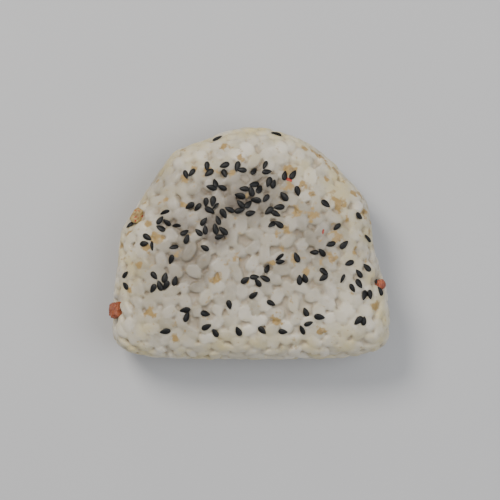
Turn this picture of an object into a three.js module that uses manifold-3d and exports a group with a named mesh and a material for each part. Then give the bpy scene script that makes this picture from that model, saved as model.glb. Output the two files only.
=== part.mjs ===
// An onigiri: a rice ball pressed in a wide mould with a round top, with black sesame on its upper face and
// scraps of its chicken filling caught in the side. It lies on its flat back.
// Millimetres. X runs along the base edge, Y from the base edge to the round top, Z up from the resting face.
import * as THREE from "three";
import { ConvexHull } from "three/addons/math/ConvexHull.js";
import { mergeVertices } from "three/addons/utils/BufferGeometryUtils.js";
import Module from "manifold-3d";

const wasm = await Module();
wasm.setup();
const { degToRad, lerp } = THREE.MathUtils;

// Driving dimensions of the whole ball
const ballWidth = 89;
const ballHeight = 74.5;
const ballThickness = 32;
const beltHeight = 14.5; // where the side wall is widest, above the resting face
const settledDepth = 1; // how far the back would bulge below the resting face if it weren't pressed flat
const widestAboveBase = 13; // along Y, where the outline is widest

// Squareness of the outline and of the section: 2 is an ellipse, more is boxier
const topSquareness = 2.06;
const baseSquareness = 4.2;
const faceSquareness = 3;
const backSquareness = 3.6;

// Places where a hand or the mould left the outline fuller or flatter
const outlineBulges = [
  { at: degToRad(174), spread: degToRad(9), out: 1.7 },
  { at: degToRad(131), spread: degToRad(9), out: 1.3 },
  { at: degToRad(112), spread: degToRad(9), out: -0.6 },
  { at: degToRad(21), spread: degToRad(9), out: 1.5 },
  { at: degToRad(-4), spread: degToRad(13), out: -2 },
];

// Cooked short-grain rice
const grain = { length: 6.4, width: 3.9 };
const grainPressing = 0.88; // grains lie this share of their own size apart
const grainTries = 16000;
const triesOnFace = 0.5; // the share of them over the upper face, and the rest are round the side
const grainStart = 20117; // starts the draws that lay them
const leastSink = 0.1; // grains' tops lie between these depths under the mould's face
const mostSink = 0.8;
const hollowDepth = 1.8; // the hollows between grains lie this deep
const lowestGrain = degToRad(-51); // latitudes between which the side's grains are tried
const highestOnSide = degToRad(60);
const grainCrown = [
  { share: 0.68, lower: 0.4 },
  { share: 0.55, lower: 0.1 },
  { share: 0.68, lower: 0.4 },
  { share: 0.55, lower: 0.1 },
]; // a grain's top corners, in order round it: the share of the way to the hollows, and the depth

// Black sesame seed: a flat drop
const seed = { length: 3.3, width: 1.95, proud: 0.75, root: 1.6, bedding: 0.2 };
const seedRim = [
  { along: 1, across: 0 },
  { along: 0.2, across: 0.8 },
  { along: -0.55, across: 1 },
  { along: -1, across: 0 },
  { along: -0.55, across: -1 },
  { along: 0.2, across: -0.8 },
]; // in shares of half its length and half its width
const seedPeak = -0.2; // the same for its highest point
const seedRoom = 1; // seeds lie this share of their own size apart, where there is room
const seedTries = 60;
const seedStart = 4177; // starts the draws that strew them

// Where the sesame fell: seeds that lie alone, and ellipses on the upper face with two seeds or more
const loneSeeds = [
  [-10.7, 33.5], [8, 34.8], [0.9, 22.6], [14.7, 16.5], [10.5, 14.8], [-19.3, 11.9], [-23.5, 5.9], [-39, 6.2],
  [-14.5, -1.4], [-24, -11.8], [23.5, 12.5], [27.3, 5.2], [34.4, 8.7], [37.4, 1.6], [14.3, -4.4], [30.9, -6.2],
  [36.8, -7.6], [4.9, -8], [-27.1, -27.8],
];
const seedDrifts = [
  { x: -19.2, y: 21.9, reachX: 1.7, reachY: 0.5, count: 2 },
  { x: -13.6, y: 23.4, reachX: 1, reachY: 1.3, count: 2 },
  { x: -8.4, y: 23.9, reachX: 0.6, reachY: 2.6, count: 2 },
  { x: -3.7, y: 23.6, reachX: 1.2, reachY: 0.8, count: 2 },
  { x: 4.8, y: 23.9, reachX: 0.8, reachY: 1.5, count: 2 },
  { x: 11.8, y: 21.5, reachX: 1.7, reachY: 0.6, count: 2 },
  { x: -10.3, y: 18.2, reachX: 2.8, reachY: 0.9, count: 3 },
  { x: -0.4, y: 17.5, reachX: 3.4, reachY: 1.2, count: 4 },
  { x: 6.3, y: 19.2, reachX: 0.7, reachY: 1.5, count: 2 },
  { x: -3.3, y: 12.7, reachX: 0.8, reachY: 2.5, count: 3 },
  { x: 2.4, y: 14.2, reachX: 2.4, reachY: 0.6, count: 2 },
  { x: -1.1, y: 10.4, reachX: 1.2, reachY: 2, count: 2 },
  { x: -14, y: 12.2, reachX: 3.4, reachY: 1.9, count: 5 },
  { x: -7.6, y: 10, reachX: 1.3, reachY: 1.5, count: 2 },
  { x: 8, y: 10.4, reachX: 2.4, reachY: 1.3, count: 3 },
  { x: -27.8, y: 7, reachX: 1.2, reachY: 4.4, count: 4 },
  { x: -15.1, y: 4, reachX: 1.5, reachY: 3.2, count: 3 },
  { x: -10.1, y: 4, reachX: 1.4, reachY: 3.4, count: 4 },
  { x: -20.7, y: 1.9, reachX: 0.6, reachY: 1.5, count: 2 },
  { x: -32, y: 0.4, reachX: 2, reachY: 1.8, count: 3 },
  { x: -24.6, y: -3.5, reachX: 0.9, reachY: 2.4, count: 2 },
  { x: -40, y: -9.8, reachX: 0.6, reachY: 4, count: 2 },
  { x: -29.4, y: -12.3, reachX: 3, reachY: 2.8, count: 5 },
  { x: 6.9, y: 5.8, reachX: 2, reachY: 0.5, count: 2 },
  { x: 26.6, y: -0.6, reachX: 3, reachY: 1.5, count: 2 },
  { x: 9.2, y: -4.6, reachX: 1.2, reachY: 1.2, count: 2 },
  { x: 20.5, y: -2.7, reachX: 1.9, reachY: 0.4, count: 2 },
  { x: 0.8, y: -11.1, reachX: 4.2, reachY: 1.4, count: 4 },
  { x: 16.6, y: -11.6, reachX: 1.5, reachY: 1.5, count: 2 },
  { x: 22.9, y: -10.3, reachX: 0.6, reachY: 2, count: 2 },
  { x: 31.8, y: -11.3, reachX: 3, reachY: 3, count: 4 },
  { x: 40.8, y: -14.6, reachX: 0.7, reachY: 2.6, count: 2 },
  { x: 35.7, y: -16.1, reachX: 2.2, reachY: 0.8, count: 2 },
  { x: 35.3, y: -24.5, reachX: 1.6, reachY: 0.5, count: 2 },
  { x: 2, y: -23, reachX: 24, reachY: 7.5, count: 15 },
];

// Scraps of cooked chicken caught in the face near its edge, each half buried in a pocket of its own. A size
// runs level along the edge, up the face and into the rice, and the middle is sunk that far into the rice.
const pocketGap = 0.35;
const scrapLumps = { depth: 0.14, waves: [5, 4, 3] };
const scraps = [
  { name: "filling_scrap_left", x: -43.5, y: -21.2, size: [5.2, 4.8, 4.6], sunk: 0.8, colour: 0xa85a3e },
  { name: "filling_scrap_right", x: 41.5, y: -12.9, size: [3.2, 3, 2.8], sunk: 0.5, colour: 0xb0583c },
  { name: "filling_scrap_upper_left", x: -36.6, y: 9.2, size: [5, 3.2, 3], sunk: 0.7, colour: 0xb4905e },
];

// Fineness of the curves and of the joining
const outlineHalvings = 24;
const sectionSteps = 120;
const shortTurn = 0.01; // radians, the step that gives the face's direction
const rimShare = 0.995; // nothing is laid on the upper face further out than this share of its reach
const backRings = [
  { latitude: degToRad(-72), corners: 16 },
  { latitude: degToRad(-60), corners: 40 },
]; // under the pressed back
const sameWithin = 1e-4;

const halfWidth = ballWidth / 2;
const baseEdgeY = -ballHeight / 2;
const widestY = baseEdgeY + widestAboveBase;
const topReach = ballHeight - widestAboveBase;
const faceRise = ballThickness - beltHeight;
const backDrop = beltHeight + settledDepth;

// The same draws every time: the minimal standard generator.
function seededDraw(start) {
  const multiplier = 16807;
  const modulus = 2147483647;
  let state = start;
  return () => {
    state = (state * multiplier) % modulus;
    return state / modulus;
  };
}

// 1 on the outline seen from above, less inside it: a tall half ellipse over a low, boxy one.
function outlineFill(x, y) {
  const rise = y - widestY;
  const reach = rise > 0 ? topReach : widestAboveBase;
  const squareness = rise > 0 ? topSquareness : baseSquareness;
  return Math.abs(x / halfWidth) ** squareness + Math.abs(rise / reach) ** squareness;
}

// Distance from the middle to the outline in one direction, found by halving.
function outlineReach(angle) {
  let inside = 0;
  let outside = ballWidth;
  for (let step = 0; step < outlineHalvings; step++) {
    const half = (inside + outside) / 2;
    if (outlineFill(half * Math.cos(angle), half * Math.sin(angle)) < 1) inside = half;
    else outside = half;
  }
  let reach = inside;
  for (const bulge of outlineBulges) {
    const turn = Math.atan2(Math.sin(angle - bulge.at), Math.cos(angle - bulge.at));
    reach += bulge.out * Math.exp(-((turn / bulge.spread) ** 2));
  }
  return reach;
}

// A point of the mould's face, or under it. Latitude runs from -90 degrees at the back to 90 over the face.
function mouldPoint({ angle, latitude }, inset = 0) {
  const squareness = latitude > 0 ? faceSquareness : backSquareness;
  const outward = Math.cos(latitude) ** (2 / squareness);
  const upward = Math.sign(latitude) * Math.abs(Math.sin(latitude)) ** (2 / squareness);
  const reach = (outlineReach(angle) - inset) * outward;
  const drop = latitude > 0 ? faceRise - inset : backDrop;
  return new THREE.Vector3(reach * Math.cos(angle), reach * Math.sin(angle), beltHeight + drop * upward);
}

// The outward direction there, from two short steps along the face.
function mouldNormal({ angle, latitude }) {
  const low = Math.min(latitude, Math.PI / 2 - 2 * shortTurn);
  const here = mouldPoint({ angle, latitude: low });
  const around = mouldPoint({ angle: angle + shortTurn, latitude: low }).sub(here);
  const above = mouldPoint({ angle, latitude: low + shortTurn }).sub(here);
  return around.cross(above).normalize();
}

// The latitude on the upper face at a share of the way out to the outline.
function faceLatitude(share) {
  return Math.acos(Math.min(share, rimShare) ** (faceSquareness / 2));
}

// The place on the upper face over a point seen from above.
function faceAt(x, y) {
  const angle = Math.atan2(y, x);
  return { angle, latitude: faceLatitude(Math.hypot(x, y) / outlineReach(angle)) };
}

// The mould place nearest the line from the ball's middle through a point.
function placeOf(point) {
  const rise = point.z - beltHeight;
  const squareness = rise > 0 ? faceSquareness : backSquareness;
  const angle = Math.atan2(point.y, point.x);
  const outward = Math.hypot(point.x, point.y) / outlineReach(angle);
  const upward = Math.abs(rise) / (rise > 0 ? faceRise : backDrop);
  const latitude = Math.atan2(upward ** (squareness / 2), outward ** (squareness / 2));
  return { angle, latitude: Math.sign(rise) * latitude };
}

// How far along the section each latitude lies, so that a unit sphere can share the lengths out evenly.
const sectionLengths = [0];
for (let step = 1; step <= sectionSteps; step++) {
  const [from, to] = [step - 1, step].map((n) => {
    return mouldPoint({ angle: 0, latitude: lerp(-Math.PI / 2, Math.PI / 2, n / sectionSteps) });
  });
  sectionLengths.push(sectionLengths[step - 1] + to.distanceTo(from));
}

// A mould place's point on that unit sphere.
function onSphere({ angle, latitude }) {
  const step = (latitude / Math.PI + 0.5) * sectionSteps;
  const low = Math.min(Math.floor(step), sectionSteps - 1);
  const length = lerp(sectionLengths[low], sectionLengths[low + 1], step - low);
  const fromBelow = (length / sectionLengths[sectionSteps]) * Math.PI;
  const outward = Math.sin(fromBelow);
  return new THREE.Vector3(outward * Math.cos(angle), outward * Math.sin(angle), -Math.cos(fromBelow));
}

// The triangles that join mould places, each with its corners in order as seen from outside.
function joinedTriangles(places) {
  const spherePoints = places.map(onSphere);
  const numbers = new Map(spherePoints.map((point, number) => [point, number]));
  return new ConvexHull().setFromPoints(spherePoints).faces.map((face) => {
    const edges = [face.edge, face.edge.next, face.edge.next.next];
    return edges.map((edge) => numbers.get(edge.head().point));
  });
}

// For each place, the numbers of the triangles round it, in order.
function trianglesRound(triangles, placeCount) {
  const links = Array.from({ length: placeCount }, () => new Map());
  triangles.forEach((triangle, number) => {
    triangle.forEach((corner, k) => {
      links[corner].set(triangle[(k + 1) % 3], { number, next: triangle[(k + 2) % 3] });
    });
  });
  return links.map((link) => {
    const ring = [];
    let [edge] = link.keys();
    while (ring.length < link.size) {
      ring.push(link.get(edge).number);
      edge = link.get(edge).next;
    }
    return ring;
  });
}

// A closed three.js geometry as a manifold-3d solid, and back.
function toSolid(geometry) {
  const bare = new THREE.BufferGeometry();
  bare.setAttribute("position", geometry.getAttribute("position"));
  bare.setIndex(geometry.index);
  const merged = mergeVertices(bare, sameWithin);
  const vertProperties = merged.getAttribute("position").array;
  const triVerts = new Uint32Array(merged.index.array);
  return new wasm.Manifold(new wasm.Mesh({ numProp: 3, vertProperties, triVerts }));
}

function toGeometry(solid) {
  const mesh = solid.getMesh();
  const geometry = new THREE.BufferGeometry();
  geometry.setAttribute("position", new THREE.BufferAttribute(mesh.vertProperties, 3));
  geometry.setIndex(new THREE.BufferAttribute(mesh.triVerts, 1));
  return geometry;
}

// The largest piece, without the loose scraps and sealed hollows that joining leaves.
function mainBody(solid) {
  return solid.decompose().sort((a, b) => b.volume() - a.volume())[0];
}

// How far apart two grains are for their headings: under 1, the one lies in the other.
function apartForGrain(one, other) {
  const gap = new THREE.Vector3().subVectors(one.middle, other.middle);
  const shares = [one, other].map(({ heading }) => {
    const along = gap.dot(heading);
    const across = Math.sqrt(Math.max(gap.lengthSq() - along * along, 0));
    return (along / grain.length) ** 2 + (across / grain.width) ** 2;
  });
  return Math.sqrt((shares[0] + shares[1]) / 2) / grainPressing;
}

// Grains side by side over the face and the side, each tried at a random place and kept clear of the others.
function laidGrains() {
  const draw = seededDraw(grainStart);
  const kept = [];
  for (let attempt = 0; attempt < grainTries; attempt++) {
    const onFace = draw() < triesOnFace;
    const share = draw();
    const latitude = onFace ? faceLatitude(Math.sqrt(share)) : lerp(lowestGrain, highestOnSide, share);
    const place = { angle: draw() * 2 * Math.PI, latitude };
    const turn = draw() * Math.PI;
    const sink = lerp(leastSink, mostSink, draw());
    const middle = mouldPoint(place);
    const outward = mouldNormal(place);
    const level = new THREE.Vector3(-Math.sin(place.angle), Math.cos(place.angle), 0);
    const laid = { ...place, middle, heading: level.applyAxisAngle(outward, turn), sink };
    if (kept.every((other) => apartForGrain(laid, other) > 1)) kept.push(laid);
  }
  return kept;
}

// Corners under the pressed back, which shows no grains.
function backCorners() {
  const places = [{ angle: 0, latitude: -Math.PI / 2 }];
  for (const { latitude, corners } of backRings) {
    for (let k = 0; k < corners; k++) places.push({ angle: (k / corners) * 2 * Math.PI, latitude });
  }
  return places.map((place) => ({ ...place, middle: mouldPoint(place) }));
}

// The hollow where three cells meet, or a plain corner of the back.
function hollowBetween(cells) {
  const between = new THREE.Vector3();
  for (const { middle } of cells) between.addScaledVector(middle, 1 / cells.length);
  return mouldPoint(placeOf(between), cells.every(({ sink }) => sink) ? hollowDepth : 0);
}

// The top corners of a grain and the numbers of those that the ring's edges meet. The first lies towards the
// farthest hollow, so that the crown is as long as the grain, and the others follow evenly round the ring.
function crownOf({ middle, sink }, ring) {
  const distances = ring.map((hollow) => hollow.distanceTo(middle));
  const first = distances.indexOf(Math.max(...distances));
  const stride = ring.length / grainCrown.length;
  const corners = grainCrown.map(({ share, lower }, number) => {
    const way = first + number * stride;
    const low = Math.floor(way);
    const [from, to] = [low, low + 1].map((k) => ring[k % ring.length]);
    const edgePoint = from.clone().lerp(to, way - low);
    return mouldPoint(placeOf(middle.clone().lerp(edgePoint, share)), sink + lower);
  });
  const met = ring.map((hollow, k) => {
    const halfway = (k + 0.5 - first + ring.length) % ring.length;
    return Math.round(halfway / stride) % grainCrown.length;
  });
  return { corners, met };
}

// The pressed mass of rice. Each grain is a cell with a raised crown, and hollows round it where it meets its
// neighbours. A corner under the back is a cell whose crown is one point.
function riceSolid() {
  const cells = [...laidGrains(), ...backCorners()];
  const triangles = joinedTriangles(cells);
  const points = triangles.map((triangle) => hollowBetween(triangle.map((number) => cells[number])));
  const faces = [];
  trianglesRound(triangles, cells.length).forEach((round, number) => {
    const cell = cells[number];
    const start = points.length;
    const following = (k) => round[(k + 1) % round.length];
    if (!cell.sink) {
      points.push(cell.middle);
      round.forEach((hollow, k) => faces.push(hollow, following(k), start));
      return;
    }
    const { corners, met } = crownOf(cell, round.map((hollow) => points[hollow]));
    points.push(...corners);
    round.forEach((hollow, k) => {
      let corner = met[k];
      faces.push(hollow, following(k), start + corner);
      while (corner !== met[(k + 1) % round.length]) {
        const next = (corner + 1) % corners.length;
        faces.push(start + corner, following(k), start + next);
        corner = next;
      }
    });
    faces.push(start, start + 1, start + 3, start + 1, start + 2, start + 3);
  });
  const geometry = new THREE.BufferGeometry().setFromPoints(points);
  geometry.setIndex(faces);
  return toSolid(geometry);
}

// A seed, rooted in the rice so that it fuses.
function seedSolid(x, y, turn) {
  const place = faceAt(x, y);
  const outward = mouldNormal(place);
  const points = seedRim.map(({ along, across }) => {
    return new THREE.Vector3((along * seed.length) / 2, (across * seed.width) / 2, 0);
  });
  const peak = new THREE.Vector3((seedPeak * seed.length) / 2, 0, seed.proud);
  const root = new THREE.Vector3(0, 0, -seed.root);
  points.push(peak, root);
  const faces = [];
  const corners = seedRim.length;
  for (let k = 0; k < corners; k++) {
    const next = (k + 1) % corners;
    faces.push(k, next, corners, next, k, corners + 1);
  }
  const heading = new THREE.Vector3(Math.cos(turn), Math.sin(turn), 0);
  const across = new THREE.Vector3().crossVectors(outward, heading).normalize();
  const along = new THREE.Vector3().crossVectors(across, outward);
  const geometry = new THREE.BufferGeometry().setFromPoints(points);
  geometry.setIndex(faces);
  geometry.applyMatrix4(new THREE.Matrix4().makeBasis(along, across, outward));
  const { x: atX, y: atY, z: atZ } = mouldPoint(place).addScaledVector(outward, -seed.bedding);
  return toSolid(geometry.translate(atX, atY, atZ));
}

// How far apart two seeds are for their headings: under 1, the one lies over the other.
function apartForSeed(one, other) {
  const gap = new THREE.Vector2(one.x - other.x, one.y - other.y);
  const shares = [one, other].map(({ turn }) => {
    const turned = gap.clone().rotateAround(new THREE.Vector2(), -turn);
    return (turned.x / seed.length) ** 2 + (turned.y / seed.width) ** 2;
  });
  return Math.sqrt((shares[0] + shares[1]) / 2);
}

// The strewn seeds. Each of a drift takes the first place with room for it, or the best of its tries.
function seedSolids() {
  const draw = seededDraw(seedStart);
  const kept = loneSeeds.map(([x, y]) => ({ x, y, turn: draw() * 2 * Math.PI }));
  for (const drift of seedDrifts) {
    for (let n = 0; n < drift.count; n++) {
      let best = { room: -1 };
      for (let attempt = 0; attempt < seedTries && best.room < seedRoom; attempt++) {
        const around = draw() * 2 * Math.PI;
        const spread = Math.sqrt(draw());
        const x = drift.x + drift.reachX * spread * Math.cos(around);
        const y = drift.y + drift.reachY * spread * Math.sin(around);
        const laid = { x, y, turn: draw() * 2 * Math.PI };
        const room = Math.min(...kept.map((other) => apartForSeed(laid, other)));
        if (room > best.room) best = { ...laid, room };
      }
      kept.push(best);
    }
  }
  return kept.map(({ x, y, turn }) => seedSolid(x, y, turn));
}

// A lumpy scrap: a round body with its corners pushed in and out by a fixed wave, laid on the face.
function scrapGeometry(scrap, grow) {
  const geometry = new THREE.IcosahedronGeometry(1, 1);
  const corners = geometry.getAttribute("position");
  const corner = new THREE.Vector3();
  const [waveX, waveY, waveZ] = scrapLumps.waves;
  for (let k = 0; k < corners.count; k++) {
    corner.fromBufferAttribute(corners, k);
    const alongAndAcross = Math.sin(waveX * corner.x + scrap.x) * Math.sin(waveY * corner.y + scrap.y);
    corner.multiplyScalar(1 + scrapLumps.depth * alongAndAcross * Math.cos(waveZ * corner.z));
    corners.setXYZ(k, ...corner.toArray().map((share, side) => share * (scrap.size[side] / 2 + grow)));
  }
  const place = faceAt(scrap.x, scrap.y);
  const outward = mouldNormal(place);
  const level = new THREE.Vector3(-Math.sin(place.angle), Math.cos(place.angle), 0);
  const upFace = new THREE.Vector3().crossVectors(outward, level).normalize();
  level.crossVectors(upFace, outward);
  geometry.applyMatrix4(new THREE.Matrix4().makeBasis(level, upFace, outward));
  return geometry.translate(...mouldPoint(place).addScaledVector(outward, -scrap.sunk).toArray());
}

// Everything below the resting face is cut away, and the pockets for the scraps are cut in.
function riceBallGeometry() {
  let ball = riceSolid();
  for (const piece of seedSolids()) ball = ball.add(piece);
  const under = new THREE.BoxGeometry(2 * ballWidth, 2 * ballWidth, ballThickness);
  ball = mainBody(ball).subtract(toSolid(under.translate(0, 0, -ballThickness / 2)));
  for (const scrap of scraps) ball = ball.subtract(toSolid(scrapGeometry(scrap, pocketGap)));
  return toGeometry(mainBody(ball));
}

const riceWhite = new THREE.MeshStandardMaterial({ color: 0xe6dfcb, roughness: 0.45, metalness: 0 });
const onigiri = new THREE.Group();

const riceBall = new THREE.Mesh(riceBallGeometry(), riceWhite);
riceBall.name = "rice_ball";
onigiri.add(riceBall);

for (const scrap of scraps) {
  const glazed = new THREE.MeshStandardMaterial({ color: scrap.colour, roughness: 0.35, metalness: 0 });
  const piece = new THREE.Mesh(scrapGeometry(scrap, 0), glazed);
  piece.name = scrap.name;
  onigiri.add(piece);
}

// The origin is under the middle of the whole ball, on the resting face.
const extent = new THREE.Box3().setFromObject(onigiri);
const middle = extent.getCenter(new THREE.Vector3());
onigiri.position.set(-middle.x, -middle.y, -extent.min.z);

export default onigiri;
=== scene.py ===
import math

import bmesh
import bpy
import numpy as np
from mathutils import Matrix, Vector, noise
from mathutils.bvhtree import BVHTree


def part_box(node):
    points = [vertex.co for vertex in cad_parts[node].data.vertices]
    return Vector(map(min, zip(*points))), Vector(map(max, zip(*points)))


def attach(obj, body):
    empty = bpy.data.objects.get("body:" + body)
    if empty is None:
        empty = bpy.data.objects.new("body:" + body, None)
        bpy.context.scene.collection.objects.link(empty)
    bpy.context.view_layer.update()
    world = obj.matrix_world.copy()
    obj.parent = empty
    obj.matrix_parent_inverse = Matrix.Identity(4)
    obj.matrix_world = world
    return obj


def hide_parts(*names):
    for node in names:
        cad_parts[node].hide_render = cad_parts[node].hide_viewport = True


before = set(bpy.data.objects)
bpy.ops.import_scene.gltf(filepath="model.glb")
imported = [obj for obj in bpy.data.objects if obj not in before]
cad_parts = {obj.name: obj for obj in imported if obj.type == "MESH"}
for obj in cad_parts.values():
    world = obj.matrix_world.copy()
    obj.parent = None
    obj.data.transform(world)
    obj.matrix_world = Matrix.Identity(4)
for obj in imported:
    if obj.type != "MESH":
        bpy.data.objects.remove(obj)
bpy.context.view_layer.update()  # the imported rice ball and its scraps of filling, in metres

# An onigiri on its back, seen from straight above: pressed cooked rice with black sesame, sauce and scraps
# of chicken. All of it is worked out in millimetres about the middle of the mould, and toFrame puts it in
# place.

ballLow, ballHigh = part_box("rice_ball")
modelledHeight = 74.01  # mm from the base edge to the round top, over the grains
metresPerMm = (ballHigh.y - ballLow.y) / modelledHeight

# the mould that shaped the rice: a tall half ellipse over a low, boxy one, with a crowned face and a flat
# back; lengths in mm, and the higher a squareness, the boxier the curve
mould = {
    "width": 89.0,
    "height": 74.5,
    "thickness": 32.0,
    "belt": 14.5,  # above the table, where the side is widest
    "settled": 1.0,  # how far the back would bulge under the table
    "widest": 13.0,  # above the base edge, where the outline is widest
    "topSquareness": 2.06,
    "baseSquareness": 4.2,
    "faceSquareness": 3.0,
    "backSquareness": 3.6,
    # of the uneven outline: where and how wide in degrees, how far out in mm
    "bulges": [(174, 9, 1.7), (131, 9, 1.3), (112, 9, -0.6), (21, 9, 1.5), (-4, 13, -2.0)],
    "toOrigin": (0.402, 0.037, 0.0),  # from the mould's middle to the frame's origin
}
faceRise = mould["thickness"] - mould["belt"]
backDrop = mould["belt"] + mould["settled"]


def toFrame(points):
    return (np.asarray(points) + mould["toOrigin"]) * metresPerMm


def outlineFill(x, y):
    rise = y + mould["height"] / 2 - mould["widest"]
    reach = np.where(rise > 0, mould["height"] - mould["widest"], mould["widest"])
    squareness = np.where(rise > 0, mould["topSquareness"], mould["baseSquareness"])
    return np.abs(x / (mould["width"] / 2)) ** squareness + np.abs(rise / reach) ** squareness


def outlineReachTable(angles, halvings=24):
    inside, outside = np.zeros(len(angles)), np.full(len(angles), mould["width"])
    for _ in range(halvings):
        half = (inside + outside) / 2
        within = outlineFill(half * np.cos(angles), half * np.sin(angles)) < 1
        inside, outside = np.where(within, half, inside), np.where(within, outside, half)
    for at, spread, out in mould["bulges"]:
        turn = angles - math.radians(at)
        turn = np.arctan2(np.sin(turn), np.cos(turn))
        inside = inside + out * np.exp(-(turn / math.radians(spread)) ** 2)
    return inside


tableAngles = np.linspace(-math.pi, math.pi, 1441)  # every quarter of a degree
tableReaches = outlineReachTable(tableAngles)


def outlineReach(x, y):
    return np.interp(np.arctan2(y, x), tableAngles, tableReaches)


def mouldFill(points):
    # 1 on the mould's face, less inside it
    x, y, z = np.moveaxis(points, -1, 0)
    rise = z - mould["belt"]
    squareness = np.where(rise > 0, mould["faceSquareness"], mould["backSquareness"])
    outward = np.hypot(x, y) / outlineReach(x, y)
    upward = np.abs(rise) / np.where(rise > 0, faceRise, backDrop)
    return (outward ** squareness + upward ** squareness) ** (1 / squareness)


def mouldDepth(points, step=0.05):
    # how deep points lie under the mould's face or above the table, and the way out from there
    fill = mouldFill(points)
    slope = np.stack([mouldFill(points + step * axis) - fill for axis in np.eye(3)], -1) / step
    steepness = np.maximum(np.linalg.norm(slope, axis=-1), 1e-6)
    depth = (1 - fill) / steepness
    overTable = points[..., 2] < depth
    depth = np.where(overTable, points[..., 2], depth)
    outward = np.where(overTable[..., None], (0.0, 0.0, -1.0), slope / steepness[..., None])
    return depth, outward, overTable


def atDepth(points, depth, rounds=4):
    for _ in range(rounds):
        now, outward, _ = mouldDepth(points)
        points = points + (now - depth)[..., None] * outward
    return points


def unit(vectors):
    return vectors / np.maximum(np.linalg.norm(vectors, axis=-1, keepdims=True), 1e-9)


def meshPiece(name, points, faces, material):
    # points in mm about the mould's middle; a piece of the ball rides on its one body
    mesh = bpy.data.meshes.new(name)
    mesh.from_pydata(toFrame(points).tolist(), [], [tuple(corners) for corners in faces])
    mesh.materials.append(material)
    mesh.polygons.foreach_set("use_smooth", [True] * len(mesh.polygons))
    mesh.update()
    piece = bpy.data.objects.new(name, mesh)
    bpy.context.scene.collection.objects.link(piece)
    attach(piece, "root")
    return piece


def paint(piece, name, values):
    # one number for each vertex, which the piece's material reads by that name
    layer = piece.data.attributes.new(name, "FLOAT", "POINT")
    layer.data.foreach_set("value", np.asarray(values, np.float32))


# Materials

def linear(hexColour):
    parts = [int(hexColour[k:k + 2], 16) / 255 for k in (1, 3, 5)]
    return [p / 12.92 if p <= 0.04045 else ((p + 0.055) / 1.055) ** 2.4 for p in parts] + [1.0]


def perMetre(sizeMm):
    # a noise texture's scale for features of that size
    return 1 / (sizeMm * metresPerMm)


def addNode(tree, kind, settings={}, **inputs):
    # settings are the node's own; inputs, by socket name or number, are numbers, colours or other outputs
    node = tree.nodes.new("ShaderNode" + kind)
    for name, value in settings.items():
        setattr(node, name, value)
    for name, value in inputs.items():
        socket = node.inputs[int(name[1:]) if name[0] == "_" else name.replace("_", " ")]
        if isinstance(value, bpy.types.NodeSocket):
            tree.links.new(value, socket)
        else:
            socket.default_value = value
    return node


colourMix = {"data_type": "RGBA", "clamp_factor": True}  # sockets 0, 6 and 7: the share, under and over


def newMaterial(name):
    material = bpy.data.materials.new(name)
    material.use_nodes = True
    tree = material.node_tree
    tree.nodes.clear()
    return material, tree, addNode(tree, "TexCoord").outputs["Object"]


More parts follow.
